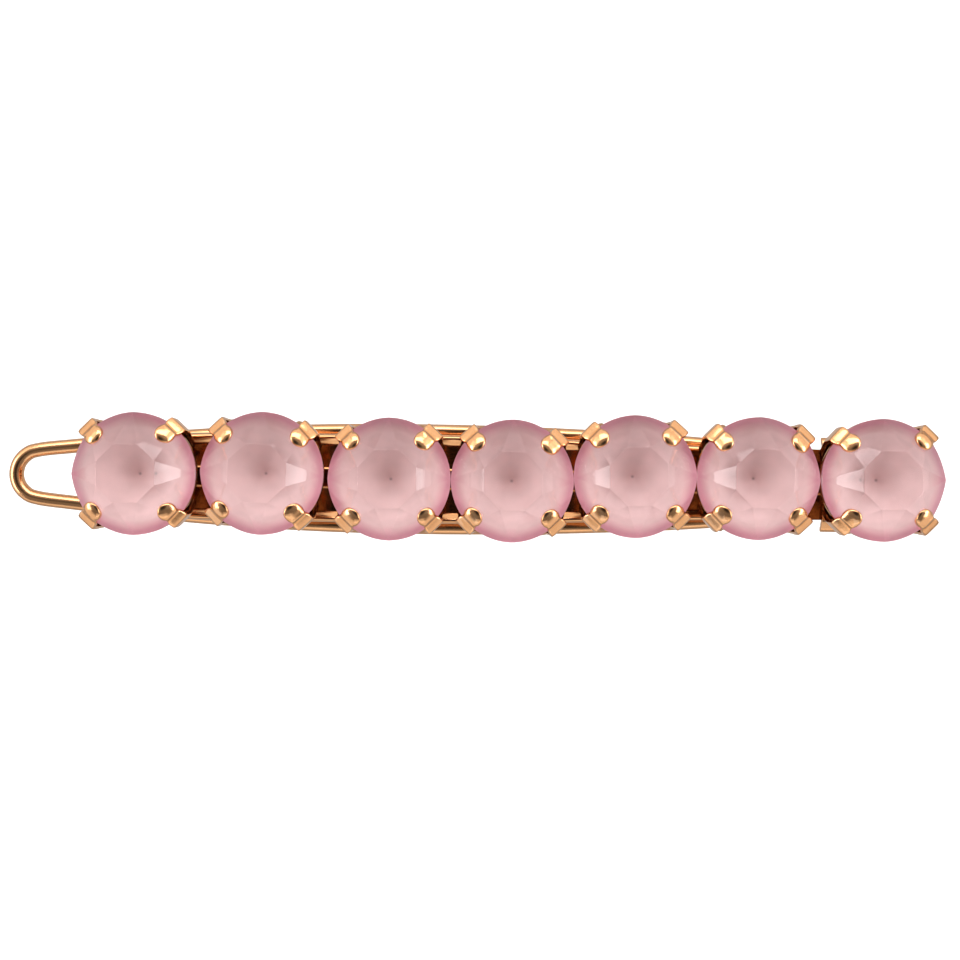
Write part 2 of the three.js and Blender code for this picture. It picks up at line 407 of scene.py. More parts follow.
def fill_inputs(tree: bpy.types.NodeTree, node: bpy.types.Node, inputs: dict[str | int, Value]) -> None:
    """Sets or links a node's inputs.

    Args:
        tree: The node tree.
        node: The node.
        inputs: What each named or numbered input gets: a number, a colour or another node's output.
    """
    for key, value in inputs.items():
        if isinstance(value, bpy.types.NodeSocket):
            tree.links.new(value, node.inputs[key])
        else:
            node.inputs[key].default_value = value


def add_node(
    tree: bpy.types.NodeTree, kind: str, inputs: dict[str | int, Value], **settings: object
) -> bpy.types.Node:
    """Adds a shader node.

    Args:
        tree: The node tree.
        kind: The node's type, without its ShaderNode prefix.
        inputs: What its inputs get.
        **settings: The node's own settings.

    Returns:
        The node.
    """
    node = tree.nodes.new(f"ShaderNode{kind}")
    for name, value in settings.items():
        setattr(node, name, value)
    fill_inputs(tree, node, inputs)
    return node


def add_sum(tree: bpy.types.NodeTree, operation: Sum, first: Value, second: Value) -> bpy.types.NodeSocket:
    """Does one sum on two numbers."""
    return add_node(tree, "Math", {0: first, 1: second}, operation=operation.value).outputs[0]


def add_scaling(tree: bpy.types.NodeTree, place: Value, factors: Value) -> bpy.types.NodeSocket:
    """Multiplies a place by a factor along each axis."""
    return add_node(tree, "VectorMath", {0: place, 1: factors}, operation="MULTIPLY").outputs[0]


def add_noise(tree: bpy.types.NodeTree, place: Value, scale: float, detail: float) -> bpy.types.NodeSocket:
    """Gives a smooth random value at each place, mostly near a half."""
    return add_node(tree, "TexNoise", {"Vector": place, "Scale": scale, "Detail": detail}).outputs["Fac"]


def add_ramp(
    tree: bpy.types.NodeTree, value: Value, start: Value, end: Value, first: float = 0.0, last: float = 1.0
) -> bpy.types.NodeSocket:
    """Turns a range of values into another range, held at its ends.

    Args:
        tree: The node tree.
        value: The value to read.
        start: Where the range starts.
        end: Where the range ends.
        first: What the start turns into.
        last: What the end turns into.

    Returns:
        The new value.
    """
    return add_node(tree, "MapRange", {0: value, 1: start, 2: end, 3: first, 4: last}).outputs[0]


def add_blend(tree: bpy.types.NodeTree, share: Value, first: Value, second: Value) -> bpy.types.NodeSocket:
    """Mixes a share of the second colour into the first."""
    return add_node(tree, "Mix", {0: share, 6: first, 7: second}, data_type="RGBA").outputs[2]


def opaque(colour: Colour) -> tuple[float, float, float, float]:
    """Gives a colour its full alpha."""
    return (*colour, 1.0)


def new_group(name: str, inputs: dict[str, str], outputs: dict[str, str]) -> bpy.types.NodeTree:
    """Starts a shader node group.

    Args:
        name: The group's name.
        inputs: Socket type by input name.
        outputs: Socket type by output name.

    Returns:
        The group's node tree, with its input and output nodes made.
    """
    group = bpy.data.node_groups.new(name, "ShaderNodeTree")
    for socket, kind in inputs.items():
        group.interface.new_socket(name=socket, in_out="INPUT", socket_type=f"NodeSocket{kind}")
    for socket, kind in outputs.items():
        group.interface.new_socket(name=socket, in_out="OUTPUT", socket_type=f"NodeSocket{kind}")
    group.nodes.new("NodeGroupInput").name = "in"
    group.nodes.new("NodeGroupOutput").name = "out"
    return group


def group_in(group: bpy.types.NodeTree, name: str) -> bpy.types.NodeSocket:
    """Gives the socket that carries one of a group's inputs."""
    return group.nodes["in"].outputs[name]


def group_out(group: bpy.types.NodeTree, name: str, source: bpy.types.NodeSocket) -> None:
    """Sends a socket out of the group."""
    group.links.new(source, group.nodes["out"].inputs[name])


def piece_coordinates(tree: bpy.types.NodeTree) -> bpy.types.NodeSocket:
    """Gives a place on the piece in millimetres from the piece's own origin."""
    return add_scaling(tree, add_node(tree, "TexCoord", {}).outputs["Object"], (1 / MM,) * 3)


def tool_marks_group() -> bpy.types.NodeTree:
    """Builds the fine marks that drawing, pressing and polishing leave on metal.

    Returns:
        A group that puts out a height for a bump and a roughness.
    """
    group = new_group(
        "tool_marks",
        {"Place": "Vector", "Stretch": "Vector", "Roughness": "Float", "Spread": "Float"},
        {"Height": "Float", "Roughness": "Float"},
    )
    place = group_in(group, "Place")
    lines = add_noise(group, add_scaling(group, place, group_in(group, "Stretch")), 1.0, 2.0)
    swell = add_noise(group, place, 0.9, 2.0)
    centred = add_sum(group, Sum.SUBTRACT, lines, 0.5)
    spread = add_sum(group, Sum.MULTIPLY, centred, group_in(group, "Spread"))
    group_out(group, "Height", add_sum(group, Sum.ADD, lines, swell))
    group_out(group, "Roughness", add_sum(group, Sum.ADD, spread, group_in(group, "Roughness")))
    return group


def plating_group() -> bpy.types.NodeTree:
    """Builds the colour of worn gold plating: paler on rubbed edges, with painted shade (a darker, redder
    colour) in the hollows and creases, where the same colour is also mottled in at random.

    Returns:
        A group that puts out a colour.
    """
    group = new_group(
        "plating",
        {"Place": "Vector", "Base": "Color", "Rubbed": "Color", "CreaseShadeAndMottle": "Color", "Wear": "Float"},
        {"Colour": "Color"},
    )
    base, crease_shade_and_mottle = group_in(group, "Base"), group_in(group, "CreaseShadeAndMottle")
    edge = add_node(group, "NewGeometry", {}).outputs["Pointiness"]
    ridge = add_ramp(group, edge, 0.5, 0.58)
    # Painted shade: hollows and creases take the darker, redder colour.
    concave_share = add_ramp(group, edge, 0.5, 0.42, 0.0, 0.8)
    patches = add_noise(group, group_in(group, "Place"), 1.6, 4.0)
    uneven = add_sum(group, Sum.MULTIPLY, ridge, patches)
    rubbed = add_sum(group, Sum.MULTIPLY, uneven, group_in(group, "Wear"))
    mottled = add_blend(group, add_ramp(group, patches, 0.3, 0.7, 0.0, 0.22), base, crease_shade_and_mottle)
    crease_shaded = add_blend(group, concave_share, mottled, crease_shade_and_mottle)
    group_out(group, "Colour", add_blend(group, rubbed, crease_shaded, group_in(group, "Rubbed")))
    return group


def painted_shade_group() -> bpy.types.NodeTree:
    """Builds painted shade: darkens the colour towards a tint in a band of heights, low down where the
    pieces shade each other.

    Returns:
        A group that puts out a colour.
    """
    limits = {"Low": "Float", "High": "Float", "Fade": "Float", "Amount": "Float"}
    group = new_group(
        "painted_shade", {"Place": "Vector", "Colour": "Color", "Tint": "Color", **limits}, {"Colour": "Color"}
    )
    place = group_in(group, "Place")
    low, high, fade, amount = (group_in(group, name) for name in limits)
    height = add_node(group, "SeparateXYZ", {0: place}).outputs["Z"]
    start = add_ramp(group, height, add_sum(group, Sum.SUBTRACT, low, fade), low)
    stop = add_ramp(group, height, high, add_sum(group, Sum.ADD, high, fade), 1.0, 0.0)
    band = add_sum(group, Sum.MULTIPLY, start, stop)
    uneven = add_ramp(group, add_noise(group, place, 6.0, 3.0), 0.35, 0.65, 0.8, 1.0)
    patchy = add_sum(group, Sum.MULTIPLY, uneven, amount)
    # Painted shade: how much darkening is laid on in the height band, a little patchy.
    shade_share = add_sum(group, Sum.MULTIPLY, band, patchy)
    group_out(group, "Colour", add_blend(group, shade_share, group_in(group, "Colour"), group_in(group, "Tint")))
    return group


def powder_group() -> bpy.types.NodeTree:
    """Builds the chalky coating of a stone's back: colour by distance from its point, with painted shade
    making the very point dark, and a fine grain.

    Returns:
        A group that puts out a colour and a height for a bump.
    """
    colours = {"Point": "Color", "Heart": "Color", "Middle": "Color", "Rim": "Color"}
    group = new_group(
        "powder", {"Place": "Vector", **colours, "Radius": "Float"}, {"Colour": "Color", "Height": "Float"}
    )
    place = group_in(group, "Place")
    far = add_node(group, "VectorMath", {0: add_scaling(group, place, (1, 1, 0))}, operation="LENGTH")
    share = add_sum(group, Sum.DIVIDE, far.outputs["Value"], group_in(group, "Radius"))
    colour = group_in(group, "Point")
    # The first colour is painted shade: a dark dot at the cone's point, where its pit is deepest.
    for start, end, name in ((0.008, 0.03, "Heart"), (0.03, 0.25, "Middle"), (0.6, 0.88, "Rim")):
        colour = add_blend(group, add_ramp(group, share, start, end), colour, group_in(group, name))
    cloud = add_ramp(group, add_noise(group, place, 0.8, 3.0), 0.3, 0.7, 0.94, 1.06)
    tinted = add_node(group, "VectorMath", {0: colour, "Scale": cloud}, operation="SCALE")
    group_out(group, "Colour", tinted.outputs[0])
    group_out(group, "Height", add_noise(group, place, 14.0, 2.0))
    return group


@dataclass
class Groups:
    """The shared node groups."""

    tool_marks: bpy.types.NodeTree = field(default_factory=tool_marks_group)
    plating: bpy.types.NodeTree = field(default_factory=plating_group)
    painted_shade: bpy.types.NodeTree = field(default_factory=painted_shade_group)
    powder: bpy.types.NodeTree = field(default_factory=powder_group)


def new_material(name: str) -> tuple[bpy.types.Material, bpy.types.NodeTree]:
    """Starts a material with an empty node tree.

    Args:
        name: The material's name.

    Returns:
        The material and its node tree.
    """
    material = bpy.data.materials.new(name)
    material.use_nodes = True
    material.node_tree.nodes.clear()
    return material, material.node_tree


def add_group(
    tree: bpy.types.NodeTree, group: bpy.types.NodeTree, inputs: dict[str | int, Value]
) -> bpy.types.Node:
    """Places a node group in a material.

    Args:
        tree: The material's node tree.
        group: The node group.
        inputs: What each of the group's inputs gets.

    Returns:
        The group's node.
    """
    return add_node(tree, "Group", inputs, node_tree=group)


# ---------------------------------------------------------------- finishes


@dataclass(frozen=True)
class GoldPlate:
    """Rose-gold plating over brass, with the marks of how the piece was made, and painted shade in its
    creases and low down.
    """

    name: str
    base: Colour = (0.88, 0.465, 0.22)
    rubbed: Colour = (0.95, 0.60, 0.37)
    # The darker, redder colour: painted shade in hollows and creases, and random mottling all over.
    crease_shade_and_mottle: Colour = (0.70, 0.25, 0.065)
    roughness: float = 0.2
    spread: float = 0.12
    stretch: tuple[float, float, float] = (3.0, 3.0, 3.0)
    mark_depth: float = 0.004
    wear: float = 0.8
    # Painted shade: the dark tint, its band of heights (low, high, fade) and how much of it is laid on.
    shade_tint: Colour = (0.16, 0.05, 0.015)
    shade_band: tuple[float, float, float] = (0.0, 0.0, 1.0)
    shade_amount: float = 0.0

    def material(self, groups: Groups) -> bpy.types.Material:
        """Builds the material.

        Args:
            groups: The shared node groups.

        Returns:
            The material.
        """
        material, tree = new_material(self.name)
        place = piece_coordinates(tree)
        marks = add_group(
            tree,
            groups.tool_marks,
            {"Place": place, "Stretch": self.stretch, "Roughness": self.roughness, "Spread": self.spread},
        )
        plating = add_group(
            tree,
            groups.plating,
            {
                "Place": place,
                "Base": opaque(self.base),
                "Rubbed": opaque(self.rubbed),
                "CreaseShadeAndMottle": opaque(self.crease_shade_and_mottle),
                "Wear": self.wear,
            },
        )
        low, high, fade = self.shade_band
        # Painted shade laid over the plating colour in a band of heights.
        painted_shade = add_group(
            tree,
            groups.painted_shade,
            {
                "Place": place,
                "Colour": plating.outputs["Colour"],
                "Tint": opaque(self.shade_tint),
                "Low": low,
                "High": high,
                "Fade": fade,
                "Amount": self.shade_amount,
            },
        )
        bump = add_node(tree, "Bump", {"Height": marks.outputs["Height"], "Distance": self.mark_depth * MM})
        shader = add_node(
            tree,
            "BsdfPrincipled",
            {
                "Base Color": painted_shade.outputs["Colour"],
                "Roughness": marks.outputs["Roughness"],
                "Metallic": 1.0,
                "Normal": bump.outputs[0],
            },
        )
        add_node(tree, "OutputMaterial", {"Surface": shader.outputs[0]})
        return material


@dataclass(frozen=True)
class FrostedGlass:
    """Satin-polished glass that lets lamps through to the coating behind it."""

    name: str = "frosted_glass"
    tint: Colour = (1.0, 0.985, 0.985)
    shade: Colour = (0.97, 0.95, 0.95)
    roughness: float = 0.07
    spread: float = 0.06
    stretch: tuple[float, float, float] = (5.0, 5.0, 5.0)
    index: float = 1.52

    def material(self, groups: Groups) -> bpy.types.Material:
        """Builds the material.

        Args:
            groups: The shared node groups.

        Returns:
            The material.
        """
        material, tree = new_material(self.name)
        marks = add_group(
            tree,
            groups.tool_marks,
            {
                "Place": piece_coordinates(tree),
                "Stretch": self.stretch,
                "Roughness": self.roughness,
                "Spread": self.spread,
            },
        )
        glass = add_node(
            tree,
            "BsdfPrincipled",
            {
                "Base Color": opaque(self.tint),
                "Roughness": marks.outputs["Roughness"],
                "Metallic": 0.0,
                "IOR": self.index,
                "Transmission Weight": 1.0,
            },
        )
        clear = add_node(tree, "BsdfTransparent", {"Color": opaque(self.shade)})
        shadow = add_node(tree, "LightPath", {}).outputs["Is Shadow Ray"]
        mix = add_node(tree, "MixShader", {0: shadow, 1: glass.outputs[0], 2: clear.outputs[0]})
        add_node(tree, "OutputMaterial", {"Surface": mix.outputs[0]})
        return material


@dataclass(frozen=True)
class PowderCoat:
    """The matte pastel coating on the back of a stone."""

    radius: float
    name: str = "powder_coat"
    # Painted shade: the dark dot at the very point of the cone.
    point: Colour = (0.42, 0.27, 0.27)
    heart: Colour = (0.72, 0.455, 0.45)
    middle: Colour = (0.70, 0.48, 0.475)
    rim: Colour = (0.58, 0.24, 0.30)
    roughness: float = 0.6
    grain_depth: float = 0.01
    grain_strength: float = 0.6

    def material(self, groups: Groups) -> bpy.types.Material:
        """Builds the material.

        Args:
            groups: The shared node groups.

        Returns:
            The material.
        """
        material, tree = new_material(self.name)
        powder = add_group(
            tree,
            groups.powder,
            {
                "Place": piece_coordinates(tree),
                "Point": opaque(self.point),
                "Heart": opaque(self.heart),
                "Middle": opaque(self.middle),
                "Rim": opaque(self.rim),
                "Radius": self.radius,
            },
        )
        grain = {"Distance": self.grain_depth * MM, "Strength": self.grain_strength}
        bump = add_node(tree, "Bump", {"Height": powder.outputs["Height"], **grain})
        shader = add_node(
            tree,
            "BsdfPrincipled",
            {
                "Base Color": powder.outputs["Colour"],
                "Roughness": self.roughness,
                "Metallic": 0.0,
                "Normal": bump.outputs[0],
            },
        )
        add_node(tree, "OutputMaterial", {"Surface": shader.outputs[0]})
        return material


@dataclass
class Finishes:
    """Every finish that the clip's pieces use, made once."""

    groups: Groups
    stone_radius: float

    def __post_init__(self) -> None:
        """Builds the materials."""
        plates = {
            # Painted shade on the bar's flat top between the beads, under the stones.
            Slot.BAR: GoldPlate(
                "bar_plate",
                stretch=(0.35, 14.0, 14.0),
                roughness=0.16,
                spread=0.16,
                mark_depth=0.0012,
                shade_band=(2.0, 2.2, 0.06),
                shade_amount=0.9,
            ),
            Slot.BRACKET: GoldPlate("bracket_plate", stretch=(6.0, 6.0, 6.0), mark_depth=0.002),
            Slot.WIRE: GoldPlate("wire_plate", stretch=(0.5, 9.0, 9.0), mark_depth=0.002),
            # Painted shade on the lower part of each cup, under its stone.
            Slot.SETTING: GoldPlate(
                "setting_plate",
                stretch=(5.0, 5.0, 5.0),
                roughness=0.18,
                shade_band=(-1.0, 0.6, 1.6),
                shade_amount=0.6,
            ),
            # Painted shade on the solder under each cup.
            Slot.SOLDER: GoldPlate(
                "solder_plate",
                roughness=0.34,
                mark_depth=0.02,
                shade_band=(-1.0, 1.0, 1.0),
                shade_amount=0.5,
            ),
        }
        self.metal = {slot: plate.material(self.groups) for slot, plate in plates.items()}
        self.glass = FrostedGlass().material(self.groups)
        self.powder = PowderCoat(self.stone_radius).material(self.groups)


# ---------------------------------------------------------------- stones


@dataclass
class Stone:
    """A round faceted stone: a glass body and the coating on its back.

    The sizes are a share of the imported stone's own radius and height, so it fits its cup.
    """

    index: int
    table_share: float = 0.503
    facets: int = 8
    arc_steps: int = 12
    facet_angle: float = 8.0
    sharp_angle: float = 24.0
    edge_softness: float = 0.03
    girdle: float = 0.45
    coat_thickness: float = 0.03
    coat_lap: float = 0.02
    coat_steps: tuple[float, ...] = (0.35, 0.7)
    coat_segments: int = 96

    def __post_init__(self) -> None:
        """Reads the stone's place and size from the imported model."""
        low, high = node_box(f"stone_{self.index}")
        self.middle = Vector(((low.x + high.x) / 2, (low.y + high.y) / 2, 0))
        self.radius = (high.x - low.x) / 2
        self.culet, self.table = low.z, high.z
        self.rim_top = self.table - CROWN_HEIGHT
        self.rim_bottom = self.rim_top - self.girdle

    def rim_height(self, angle: float) -> float:
        """Gives the height of the girdle's upper edge.

        Args:
            angle: The direction from the stone's axis, in radians.

        Returns:
            The height, where the broad facet there meets the girdle.
        """
        step = 2 * math.pi / self.facets
        off_axis = abs(angle % step - step / 2)
        chord = self.radius * math.cos(step / 2)
        slope = CROWN_HEIGHT / (self.table_share * self.radius - chord)
        return self.rim_top + slope * (self.radius * math.cos(off_axis) - chord)

    def glass_shell(self) -> Shell:
        """Draws the glass body with its table, star facets, broad facets, girdle and cone.

        Returns:
            The closed body.
        """
        shell = Shell()
        step = 2 * math.pi / self.facets
        count = self.facets * self.arc_steps
        corner = self.table_share * self.radius
        for i in range(self.facets):
            angle = (i + 0.5) * step
            shell.verts.append(Vector((corner * math.cos(angle), corner * math.sin(angle), self.table)))
        for i in range(count):
            angle = 2 * math.pi * i / count
            x, y = self.radius * math.cos(angle), self.radius * math.sin(angle)
            shell.verts.append(Vector((x, y, self.rim_height(angle))))
            shell.verts.append(Vector((x, y, self.rim_bottom)))
        shell.verts.append(Vector((0, 0, self.culet)))
        first, point = self.facets, self.facets + 2 * count
        shell.faces.append(tuple(range(self.facets)))
        for i in range(self.facets):
            start = i * self.arc_steps
            shell.faces.append((i, (i - 1) % self.facets, first + 2 * start))
            arc = [first + 2 * ((start + k) % count) for k in range(self.arc_steps + 1)]
            shell.faces.append((i, *arc))
        for i in range(count):
            here, there = first + 2 * i, first + 2 * ((i + 1) % count)
            shell.faces.append((here, here + 1, there + 1, there))
            shell.faces.append((here + 1, point, there + 1))
        return shell

    def coat_shell(self) -> Shell:
        """Draws the coating: a thin cone that starts just inside the glass and ends just outside it.

        Returns:
            The closed cone.
        """
        depth = self.rim_bottom - self.culet
        skin = self.coat_thickness
        tip_inside, tip_outside = self.culet + 2.2 * skin, self.culet - 0.01
        top = self.rim_bottom + self.coat_lap
        cone = [(self.radius * share, self.culet + depth * share) for share in self.coat_steps]
        profile = [(0.0, tip_inside), (0.07, tip_inside)]
        profile += [(radius, height + skin) for radius, height in cone]
        profile += [(self.radius - skin, top), (self.radius, top - 0.01)]
        profile.append((self.radius, self.rim_bottom - skin))
        profile += [(radius, height - skin) for radius, height in reversed(cone)]
        profile += [(0.06, tip_outside), (0.0, tip_outside)]
        shell = Shell()
        shell.lathe(profile, self.coat_segments)
        return shell

    def build(self, finishes: Finishes, turn: float) -> None:
        """Builds and dresses the stone.

        Args:
            finishes: The clip's finishes.
            turn: How far the stone is turned in its cup, in degrees.
        """
        node = f"stone_{self.index}"
        glass = self.glass_shell().piece(f"{node}_glass", self.middle, sharp=self.facet_angle)
        glass.rotation_euler.z = math.radians(turn)
        soften_edges(glass, self.edge_softness, self.facet_angle)
        shade(glass, self.sharp_angle)
        coat = self.coat_shell().piece(f"{node}_coat", self.middle)
        dress(glass, Body.CLIP, finishes.glass, node)
        dress(coat, Body.CLIP, finishes.powder, node)


# ---------------------------------------------------------------- cups


@dataclass
class ProngShape:
    """How one prong was bent by hand.

    Its tip reaches further in, it is wider, it leans sideways, and it stands a few degrees to one side.
    """

    reach: float = 0.0
    width: float = 0.0
    lean: float = 0.0
    side: float = 0.0


@dataclass
class FourProngCup:
    """A pressed cup with four prongs folded over the stone's crown."""

    index: int
    rim_segments: int = 96
    section_points: int = 28
    span_steps: int = 5
    prongs: int = 4
    thickness: float = 0.36
    half_width: float = 0.6
    box: float = 0.18
    rim_radius: float = 4.07
    rim_height: float = 2.75
    rim_dip: float = 0.035
    wall: float = 0.28
    sharp_angle: float = 38.0

    def __post_init__(self) -> None:
        """Reads the cup's place and the girdle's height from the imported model."""
        low, high = node_box(f"setting_{self.index}")
        stone_top = node_box(f"stone_{self.index}")[1].z
        self.middle = Vector(((low.x + high.x) / 2, (low.y + high.y) / 2, low.z))
        self.girdle = stone_top - CROWN_HEIGHT - low.z

    def bowl(self) -> Shell:
        """Draws the cup below the prongs, with a rounded lip that dips between them.

        Returns:
            The closed bowl.
        """
        lip, wall, top = self.rim_radius, self.wall, self.rim_height
        outside = [(0.0, 0.0), (2.2, 0.0), (2.6, 0.05), (2.95, 0.2), (3.42, 0.78), (3.72, 1.4), (3.92, 2.0)]
        edge = [(lip, top - 0.12), (lip - 0.03, top - 0.03), (lip - wall / 2, top)]
        edge += [(lip - wall + 0.03, top - 0.03), (lip - wall, top - 0.12)]
        inside = [(3.64, 2.0), (3.44, 1.4), (3.14, 0.85), (2.72, 0.4), (2.3, 0.3), (0.0, 0.3)]
        shell = Shell()
        shell.lathe(
            outside + edge + inside,
            self.rim_segments,
            lambda angle: -self.rim_dip * (1 + math.cos(self.prongs * angle)),
        )
        return shell

    def outline(self, shape: ProngShape) -> list[tuple[Vector, float, float, float, float]]:
        """Lists the sections along a prong.

        Args:
            shape: How this prong was bent.

        Returns:
            For each section its place (distance from the axis, and height), half width, thickness above
            and below the middle line, and the exponent of its upper half.
        """
        g = self.girdle
        reach = shape.reach
        upright = [(2.55, 0.02), (3.2, 0.24), (3.9, 0.98), (4.34, 1.75), (4.53, 2.45), (4.56, g - 0.5)]
        upright += [(4.56, g - 0.02), (4.53, g + 0.13), (4.4, g + 0.26)]
        tip = [(3.94, g + 0.6), (3.78 - reach, g + 0.8), (3.42 - reach, g + 1.03)]
        tip += [(3.18 - reach, g + 1.12), (2.99 - reach, g + 1.14)]
        path = spline([Vector((far, 0, height)) for far, height in upright + tip], self.span_steps)
        lengths = [0.0]
        for a, b in zip(path, path[1:]):
            lengths.append(lengths[-1] + (b - a).length)
        total = lengths[-1]
        crease = lengths[self.span_steps * len(upright)]
        width = self.half_width + shape.width
        widths = [(0.0, 1.15), (1.0, 1.4), (1.9, 1.22), (2.7, width + 0.14), (3.2, width + 0.07)]
        widths += [(crease - 0.4, width + 0.06), (crease - 0.02, width - 0.06)]
        widths.append((crease + 0.35, width + 0.05))
        sections = []
        for point, along in zip(path, lengths):
            half = curve_value(widths, along)
            past = max(0.0, (along - crease) / (total - crease))
            nose = math.sqrt(max(1e-4, 1 - max(0.0, (past - 0.36) / 0.64) ** 2.2))
            top = curve_value([(crease - 0.06, 0.0), (crease + 0.12, 0.1), (total, 0.1)], along) * nose
            below = self.thickness * (1 if past == 0 else 0.45 + 0.55 * nose)
            dome = 0.36 if past == 0 else 0.36 + 0.6 * min(1.0, past * 5)
            sections.append((point, half * nose, top, below, dome))
        return sections

    def prong(self, shape: ProngShape) -> Shell:
        """Draws one prong on the +X side.

        Args:
            shape: How this prong was bent.

        Returns:
            The prong as one closed surface.
        """
        sections = self.outline(shape)
        rings = []
        for i, (point, half, top, below, dome) in enumerate(sections):
            before = sections[max(i - 1, 0)][0]
            after = sections[min(i + 1, len(sections) - 1)][0]
            ahead = (after - before).normalized()
            out = Vector((ahead.z, 0, -ahead.x))
            height = (top + below) / 2
            centre = point + out * (top - height)
            lean = shape.lean * max(0.0, point.z - self.girdle + 0.4)
            section = superellipse(half, height, self.box, dome, self.section_points)
            rings.append([centre + out * up + Vector((0, across + lean, 0)) for across, up in section])
        shell = Shell()
        shell.loft(rings)
        return shell

    def build(self, finishes: Finishes, turn: float) -> None:
        """Builds and dresses the cup.

        Args:
            finishes: The clip's finishes.
            turn: How far the cup is turned, in degrees.
        """
        rng = random.Random(100 + self.index)
        prongs = Shell()
        for i in range(self.prongs):
            shape = ProngShape(
                reach=rng.uniform(0.0, 0.16),
                width=rng.uniform(-0.02, 0.03),
                lean=rng.uniform(-0.1, 0.1),
                side=rng.uniform(-1.5, 1.5),
            )
            prongs.take(self.prong(shape).turned(360 / self.prongs * (i + 0.5) + shape.side))
        cup = self.bowl().piece(f"cup_{self.index}", self.middle)
        combine(cup, prongs.piece("prongs", self.middle), Operation.JOIN, self.sharp_angle)
        cup.rotation_euler.z = math.radians(turn)
        dress(cup, Body.CLIP, finishes.metal[Slot.SETTING], f"setting_{self.index}")


# ---------------------------------------------------------------- bar


